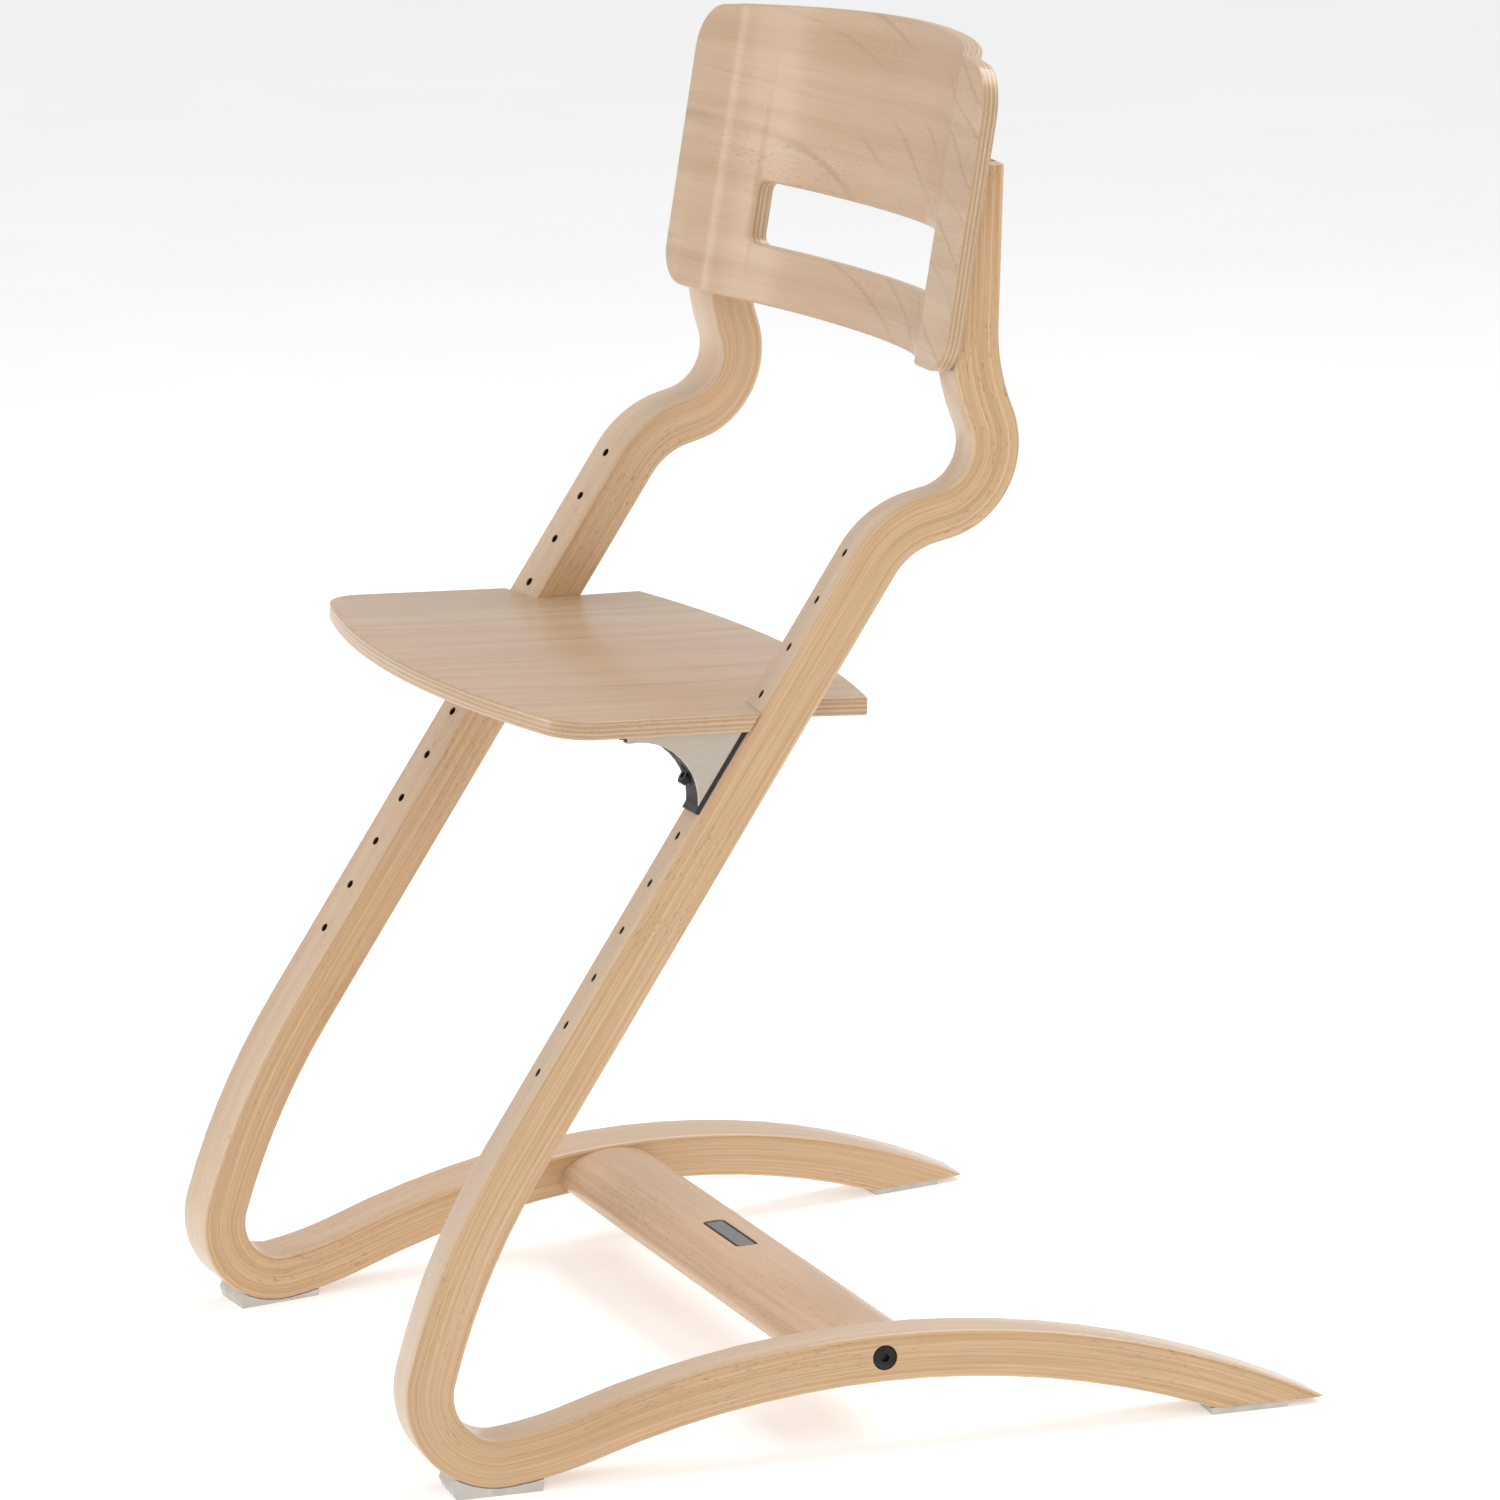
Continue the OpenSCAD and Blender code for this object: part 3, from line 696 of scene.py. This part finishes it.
# %% Crossbar bolts
bolt = drill(HEAD_R, 4.8 * MM, Matrix.Translation((0, 0, 0)), 64)
bolt.name = "crossbar_bolt_left"
finish_with(bolt, "BEVEL", width=0.9 * MM, segments=3, limit_method="ANGLE",
            angle_limit=math.radians(40))
carve(bolt, [drill(2.9 * MM, 6 * MM, Matrix.Translation((0, 0, 1.8 * MM)), 6)])
shank = drill(4 * MM, 60 * MM, Matrix.Translation((0, 0, -60 * MM + 0.2 * MM)), 32)
clear_selection()
bolt.select_set(True)
shank.select_set(True)
bpy.context.view_layer.objects.active = bolt
bpy.ops.object.join()
settle(bolt, bar_bolt_place @ Matrix.Translation((-5 * MM, 0, 0)) @ OUTWARDS)
other_bolt = mirrored(bolt, "crossbar_bolt_right")
print("bolts", len(bolt.data.polygons), "faces each")

# %% [markdown]
# Before the finishes, every modelled piece is shaded smooth across its curves and crisp
# at its edges. The small imported parts keep their meshes. Where they show, a Weld and a
# fine Bevel modifier break their sharp edges, as moulding and tumbling do.

# %% Smooth shading and small edges
for piece in (left_frame, right_frame, crossbar, seat, backrest, bolt, other_bolt):
    soften_shading(piece)

for names, width in ((("bracket_cheek_left", "bracket_cheek_right"), 0.35),
                     (("bracket_core_left", "bracket_core_right"), 0.6),
                     (("bracket_pad_left", "bracket_pad_right"), 0.4),
                     (("front_glide_left", "front_glide_right",
                       "rear_glide_left", "rear_glide_right"), 0.7),
                     (("crossbar_badge",), 0.25)):
    for name in names:
        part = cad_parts[name]
        weld = part.modifiers.new("weld", "WELD")
        weld.merge_threshold = 0.00002
        edge = part.modifiers.new("edge", "BEVEL")
        edge.width = width * MM
        edge.segments = 2
        edge.limit_method = "ANGLE"
        edge.angle_limit = math.radians(30)
print("edges broken on the small parts")

# %% [markdown]
# ## Finishes
# Every finish is built from nodes. A small helper adds a node, sets its sockets and links
# its inputs, so that each finish below reads as a short recipe.

# %% Node helper
SOCKETS = {"metallic": "Metallic", "coat": "Coat Weight", "coat_rough": "Coat Roughness",
           "specular": "Specular IOR Level", "sheen": "Sheen Weight"}


class Finish:
    """A material and the steps that build it. Each step gives the socket it ends in."""

    def __init__(self, name, **surface):
        self.material = bpy.data.materials.new(name)
        self.material.use_nodes = True
        self.tree = self.material.node_tree
        self.shader = self.tree.nodes["Principled BSDF"]
        for socket, value in surface.items():
            self.shader.inputs[SOCKETS[socket]].default_value = value

    def feed(self, socket, value):
        """Links a socket, or sets a plain value on it."""
        if isinstance(value, bpy.types.NodeSocket):
            self.tree.links.new(value, socket)
        else:
            socket.default_value = value

    def node(self, kind, out=0, settings=(), **inputs):
        """Adds a node. Inputs are given by name, or by number as i0, i1 and so on."""
        made = self.tree.nodes.new(kind)
        for key, value in dict(settings).items():
            setattr(made, key, value)
        for key, value in inputs.items():
            self.feed(made.inputs[int(key[1:]) if key[1:].isdigit() else key], value)
        return made.outputs[out]

    def math(self, operation, a, b=0.0, c=0.0):
        return self.node("ShaderNodeMath", settings={"operation": operation},
                         i0=a, i1=b, i2=c)

    def ramp(self, value, low, high, to_low=0.0, to_high=1.0):
        return self.node("ShaderNodeMapRange", settings={"interpolation_type":
                         "SMOOTHSTEP"}, i0=value, i1=low, i2=high, i3=to_low, i4=to_high)

    def mix(self, amount, one, other):
        made = self.tree.nodes.new("ShaderNodeMix")
        made.data_type = "RGBA"
        self.feed(made.inputs[0], amount)
        self.feed(made.inputs[6], one)
        self.feed(made.inputs[7], other)
        return made.outputs[2]

    def stretched(self, parts, scales):
        """A vector whose parts are scaled one by one: large scales give fine detail."""
        scaled = [self.math("MULTIPLY", p, s) for p, s in zip(parts, scales)]
        return self.node("ShaderNodeCombineXYZ", i0=scaled[0], i1=scaled[1],
                         i2=scaled[2])

    def noise(self, vector, detail=2.0, distortion=0.0):
        return self.node("ShaderNodeTexNoise", Vector=vector, Scale=1.0, Detail=detail,
                         Distortion=distortion)

    def bump(self, height, distance, strength):
        self.tree.links.new(self.node("ShaderNodeBump", Height=height,
                                      Distance=distance, Strength=strength),
                            self.shader.inputs["Normal"])


def paint(piece, finish):
    piece.data.materials.clear()
    piece.data.materials.append(finish.material)


# %% [markdown]
# ### Laminated beech
# The clear lacquer leaves beech pale: pinkish beige on the wide faces, and a warmer gold
# where the cut plies show. The recipe reads the lay. The depth gives the ply, each with a
# tone of its own, and a thin glue line between two plies. The length stretches the noise
# into fibres, and into the short dark flecks that mark beech. A few contour lines of slow
# noise draw the flame figure on the faces.

# %% Beech recipe
APEX = 21.5  # how far along the grain the arches of the flame figure have their top


def beech(name, half_thick, pitch, face, face_dark, cut, cut_dark, glue_depth, figure,
          cross_plies=0.0, bore_shade=0.0, arch=0.0):
    f = Finish(name, coat=0.3, coat_rough=0.16, specular=0.4)
    lay = f.node("ShaderNodeAttribute", out=1, settings={"attribute_name": "lay"})
    split = f.tree.nodes.new("ShaderNodeSeparateXYZ")
    f.feed(split.inputs[0], lay)
    along, across, through = split.outputs
    lay_parts = (along, across, through)

    fibre = f.noise(f.stretched(lay_parts, (26, 950, 950)), 3.0)
    streak = f.noise(f.stretched(lay_parts, (2.2, 70, 150)), 3.0, 0.3)
    edge_streak = f.noise(f.stretched(lay_parts, (5, 5, 620)), 4.0, 0.2)
    cloud = f.noise(f.stretched(lay_parts, (7, 16, 16)), 2.0)
    fleck = f.ramp(f.noise(f.stretched(lay_parts, (190, 1100, 1100)), 1.0), 0.64, 0.70)
    fleck = f.math("MULTIPLY", fleck, f.ramp(cloud, 0.42, 0.6))

    # Plies: which one, its own tone, and the glue line at its border.
    waver = f.math("MULTIPLY", f.math("SUBTRACT", f.noise(
        f.stretched(lay_parts, (9, 30, 0)), 1.0), 0.5), 0.0006)
    place = f.math("DIVIDE", f.math("ADD", f.math("ADD", through, half_thick), waver),
                   pitch)
    ply = f.math("FLOOR", place)
    tone = f.node("ShaderNodeTexWhiteNoise", settings={"noise_dimensions": "1D"}, W=ply)
    border = f.math("PINGPONG", place, 0.5)
    glue = f.ramp(border, 0.0, 0.16, 1.0, 0.0)
    glue = f.math("MULTIPLY", glue, f.ramp(f.noise(
        f.stretched((along, across, ply), (11, 40, 3.7)), 2.0), 0.35, 0.7, 0.25, 1.0))
    face_mask = f.ramp(f.math("ABSOLUTE", through), half_thick - 0.0011,
                       half_thick - 0.0005)

    # Flame figure on the faces: contour lines of a slow noise.
    slow = f.noise(f.stretched(lay_parts, (2.4, 12, 0)), 1.0, 0.2)
    from_apex = f.math("SUBTRACT", along, APEX)
    dome = f.math("MULTIPLY", f.math("MULTIPLY", from_apex, from_apex), arch)
    level = f.math("ADD", f.math("MULTIPLY", slow, 0.075), f.math("ADD", across, dome))
    ring = f.math("PINGPONG", f.math("MULTIPLY", level, 36.0), 0.5)
    line = f.math("MULTIPLY", f.ramp(ring, 0.0, 0.10, 1.0, 0.0),
                  f.ramp(cloud, 0.4, 0.6, 0.1, 1.0))

    face_colour = f.mix(f.ramp(streak, 0.3, 0.75), face, face_dark)
    face_colour = f.mix(f.math("MULTIPLY", line, figure), face_colour,
                        (0.36, 0.20, 0.10, 1))
    cut_colour = f.mix(f.ramp(edge_streak, 0.35, 0.66), cut, cut_dark)
    cut_colour = f.mix(f.math("MULTIPLY", tone, 0.45), cut_colour, cut_dark)
    crossed = f.math("MULTIPLY", f.math("MODULO", ply, 2.0), cross_plies)
    cut_colour = f.mix(crossed, cut_colour, (0.30, 0.17, 0.085, 1))
    cut_colour = f.mix(f.math("MULTIPLY", glue, glue_depth), cut_colour,
                       (0.25, 0.13, 0.06, 1))
    colour = f.mix(face_mask, cut_colour, face_colour)
    colour = f.mix(f.ramp(fibre, 0.35, 0.75, 0.0, 0.16), colour, (0.33, 0.19, 0.10, 1))
    colour = f.mix(f.math("MULTIPLY", fleck, 0.45), colour, (0.22, 0.11, 0.05, 1))

    # The bores are painted near-black: their bare end grain, which no lacquer gets to, and
    # painted shade where no light gets in.
    bore_shade_mask = f.math("MULTIPLY", f.ramp(f.math("ABSOLUTE", across), 0.0048, 0.0052, 1, 0),
                  f.ramp(f.math("ABSOLUTE", through), half_thick - 0.0007,
                         half_thick - 0.0003, bore_shade, 0))
    colour = f.mix(bore_shade_mask, colour, (0.02, 0.012, 0.008, 1))
    f.feed(f.shader.inputs["Base Color"], colour)
    f.feed(f.shader.inputs["Roughness"], f.math("ADD", f.math(
        "MULTIPLY", fibre, 0.12), 0.30))
    height = f.math("SUBTRACT", f.math("MULTIPLY", fibre, 0.5), f.math(
        "MULTIPLY", f.math("ADD", fleck, f.math("MULTIPLY", glue, f.math(
            "SUBTRACT", 1.0, face_mask))), 0.5))
    f.bump(height, 0.00012, 0.5)
    return f


# The ribbon finish paints shade into its drilled holes, nearly to black.
ribbon_beech = beech("laminated_beech_lacquered", RIBBON_THICK / 2, 1.52 * MM,
                     (0.66, 0.49, 0.345, 1), (0.58, 0.41, 0.27, 1),
                     (0.71, 0.485, 0.285, 1), (0.555, 0.345, 0.175, 1), 0.42, 0.05,
                     bore_shade=0.97)
plate_beech = beech("beech_plywood_lacquered", BACK_THICK / 2, 1.38 * MM,
                    (0.60, 0.425, 0.285, 1), (0.52, 0.35, 0.215, 1),
                    (0.68, 0.50, 0.33, 1), (0.54, 0.36, 0.21, 1), 0.3, 0.4,
                    cross_plies=0.46, arch=0.75)
bar_beech = beech("solid_beech_lacquered", 60 * MM, 30 * MM,
                  (0.66, 0.45, 0.30, 1), (0.56, 0.36, 0.22, 1),
                  (0.67, 0.46, 0.31, 1), (0.55, 0.355, 0.215, 1), 0.0, 0.12)
for piece, finish in ((left_frame, ribbon_beech), (right_frame, ribbon_beech),
                      (crossbar, bar_beech), (seat, plate_beech),
                      (backrest, plate_beech)):
    paint(piece, finish)
print("beech on five pieces")

# %% [markdown]
# ### Metal, moulding and dowel finishes
# The bracket cheeks are brushed steel: a noise that is very long one way and very fine
# the other gives the brush marks, in tone, roughness and bump. The black parts are a
# satin moulding with a fine grain. The glides are a soft grey plastic. Inside parts get
# the same care, because the model may be opened up.

# %% Small finishes
def brushed(name, colour, dark, scales, rough):
    f = Finish(name, metallic=1.0)
    place = f.node("ShaderNodeTexCoord", out=3)
    split = f.tree.nodes.new("ShaderNodeSeparateXYZ")
    f.feed(split.inputs[0], place)
    marks = f.noise(f.stretched(split.outputs, scales), 4.0)
    patch = f.noise(f.stretched(split.outputs, (60, 60, 60)), 2.0)
    f.feed(f.shader.inputs["Base Color"], f.mix(marks, colour, dark))
    f.feed(f.shader.inputs["Roughness"], f.math("ADD", f.math("ADD", f.math(
        "MULTIPLY", marks, 0.18), f.math("MULTIPLY", patch, 0.08)), rough))
    f.bump(marks, 0.00006, 0.45)
    return f


def moulded(name, colour, worn, grain, rough, depth, **surface):
    f = Finish(name, **surface)
    place = f.node("ShaderNodeTexCoord", out=3)
    fine = f.node("ShaderNodeTexNoise", Vector=place, Scale=grain, Detail=3.0)
    patch = f.node("ShaderNodeTexNoise", Vector=place, Scale=grain / 14, Detail=2.0)
    f.feed(f.shader.inputs["Base Color"], f.mix(f.ramp(patch, 0.3, 0.7), colour, worn))
    f.feed(f.shader.inputs["Roughness"], f.math("ADD", f.math("MULTIPLY", fine, 0.14),
                                                rough))
    f.bump(fine, depth, 0.5)
    return f


steel = brushed("brushed_steel_cheek", (0.66, 0.585, 0.49, 1), (0.46, 0.40, 0.33, 1),
                (120, 90, 2600), 0.30)
zinc = brushed("zinc_plated", (0.66, 0.66, 0.65, 1), (0.46, 0.46, 0.46, 1),
               (900, 900, 200), 0.32)
badge_metal = brushed("badge_satin_metal", (0.36, 0.355, 0.345, 1),
                      (0.24, 0.235, 0.23, 1), (60, 2200, 900), 0.38)
black_metal = moulded("black_socket_steel", (0.012, 0.011, 0.010, 1),
                      (0.030, 0.028, 0.026, 1), 900, 0.34, 0.00003, metallic=0.6)
black_core = moulded("black_moulding", (0.009, 0.0085, 0.008, 1),
                     (0.018, 0.017, 0.016, 1), 1400, 0.52, 0.00005, specular=0.28)
black_pad = moulded("black_pad_rubber", (0.014, 0.013, 0.013, 1),
                    (0.026, 0.025, 0.025, 1), 1100, 0.62, 0.00008, sheen=0.1)
glide_grey = moulded("grey_glide_moulding", (0.62, 0.585, 0.53, 1),
                     (0.54, 0.51, 0.46, 1), 1200, 0.42, 0.00006, specular=0.4)
dowel = moulded("dowel_beech", (0.62, 0.45, 0.28, 1), (0.50, 0.34, 0.20, 1), 700, 0.55,
                0.00008, specular=0.3)

# A dark border runs round the blank face of the badge.
place = badge_metal.node("ShaderNodeTexCoord", out=3)
badge_split = badge_metal.tree.nodes.new("ShaderNodeSeparateXYZ")
badge_metal.feed(badge_split.inputs[0], place)
from_ends = badge_metal.math("SUBTRACT", BADGE_LONG / 2, badge_metal.math(
    "ABSOLUTE", badge_split.outputs[0]))
from_sides = badge_metal.math("SUBTRACT", BADGE_WIDE / 2, badge_metal.math(
    "ABSOLUTE", badge_metal.math("SUBTRACT", badge_split.outputs[1], BAR_Y)))
border = badge_metal.ramp(badge_metal.math("MINIMUM", from_ends, from_sides),
                          1.3 * MM, 1.7 * MM, 1, 0)
plain = badge_metal.shader.inputs["Base Color"].links[0].from_socket
badge_metal.feed(badge_metal.shader.inputs["Base Color"],
                 badge_metal.mix(border, plain, (0.045, 0.042, 0.04, 1)))

for names, finish in (
        (("bracket_cheek_left", "bracket_cheek_right"), steel),
        (("bracket_core_left", "bracket_core_right"), black_core),
        (("bracket_pad_left", "bracket_pad_right"), black_pad),
        (("bracket_bolts", "backrest_bolts"), black_metal),
        (("crossbar_badge",), badge_metal),
        (("front_glide_left", "front_glide_right", "rear_glide_left",
          "rear_glide_right"), glide_grey),
        (("crossbar_dowels",), dowel),
        (("frame_sleeves_left", "frame_sleeves_right", "backrest_sleeves",
          "crossbar_barrel_nuts", "glide_pins", "seat_screws"), zinc)):
    for name in names:
        paint(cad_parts[name], finish)
for piece in (bolt, other_bolt):
    paint(piece, black_metal)
print(len(bpy.data.materials), "finishes")

# %% [markdown]
# ## Which part moves with what
# The seat and its brackets slide up and down the uprights, and all the rest stands still.
# Each new piece is listed with the engineering part it stands for, the body that carries it
# and the finish slot of the record it belongs to. It is hung on its body, and the
# engineering part is hidden.

# %% Bodies and slots
for piece, node, body, finish_slot in (
        (left_frame, "side_frame_left", "chair", "laminated_beech"),
        (right_frame, "side_frame_right", "chair", "laminated_beech"),
        (crossbar, "crossbar", "chair", "laminated_beech"),
        (backrest, "backrest", "chair", "beech_plywood"),
        (seat, "seat", "seat_unit", "beech_plywood"),
        (bolt, "crossbar_bolts", "chair", "black_metal"),
        (other_bolt, "crossbar_bolts", "chair", "black_metal")):
    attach(piece, body)
    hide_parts(node)

# %% [markdown]
# ## Studio
# The chair stands on a plain pale floor in soft light. A tall softbox at the front right
# gives the upright band of gloss in the hollow of the backrest, a large one beside the
# camera lights the cut sides, and an even white surrounding keeps every shadow open.

# %% Floor and light
bpy.ops.object.select_all(action="DESELECT")
bpy.ops.mesh.primitive_grid_add(x_subdivisions=8, y_subdivisions=8, size=60,
                                location=(0, 0, 0))
floor = bpy.context.object
floor.name = "studio_floor"
floor_finish = moulded("studio_floor_paint", (0.86, 0.86, 0.86, 1),
                       (0.84, 0.84, 0.84, 1), 40, 0.75, 0.0002, specular=0.2)
floor_finish.shader.inputs["Emission Color"].default_value = (1, 1, 1, 1)
floor_finish.shader.inputs["Emission Strength"].default_value = 0.36
paint(floor, floor_finish)

world = bpy.data.worlds.new("studio")
world.use_nodes = True
world.node_tree.nodes["Background"].inputs[0].default_value = (1, 1, 1, 1)
world.node_tree.nodes["Background"].inputs[1].default_value = 0.6
bpy.context.scene.world = world


def softbox(name, place, aim, size, watts):
    lamp = bpy.data.lights.new(name, "AREA")
    lamp.shape, lamp.size, lamp.size_y = "RECTANGLE", size[0], size[1]
    lamp.energy = watts
    box = bpy.data.objects.new(name, lamp)
    bpy.context.scene.collection.objects.link(box)
    box.location = place
    box.rotation_mode = "QUATERNION"
    box.rotation_quaternion = (Vector(place) - Vector(aim)).to_track_quat("Z", "Y")
    return box


softbox("tall_softbox", (-1.15, -2.7, 1.05), (-0.1, 0.1, 0.75), (0.9, 2.3), 22)
softbox("side_softbox", (2.4, -0.9, 2.4), (0, 0, 0.4), (1.8, 1.8), 24)
softbox("top_softbox", (-0.4, 1.6, 3.0), (0, 0, 0.4), (2.2, 2.2), 58)
bpy.context.scene.view_settings.view_transform = "Standard"
print("studio ready")
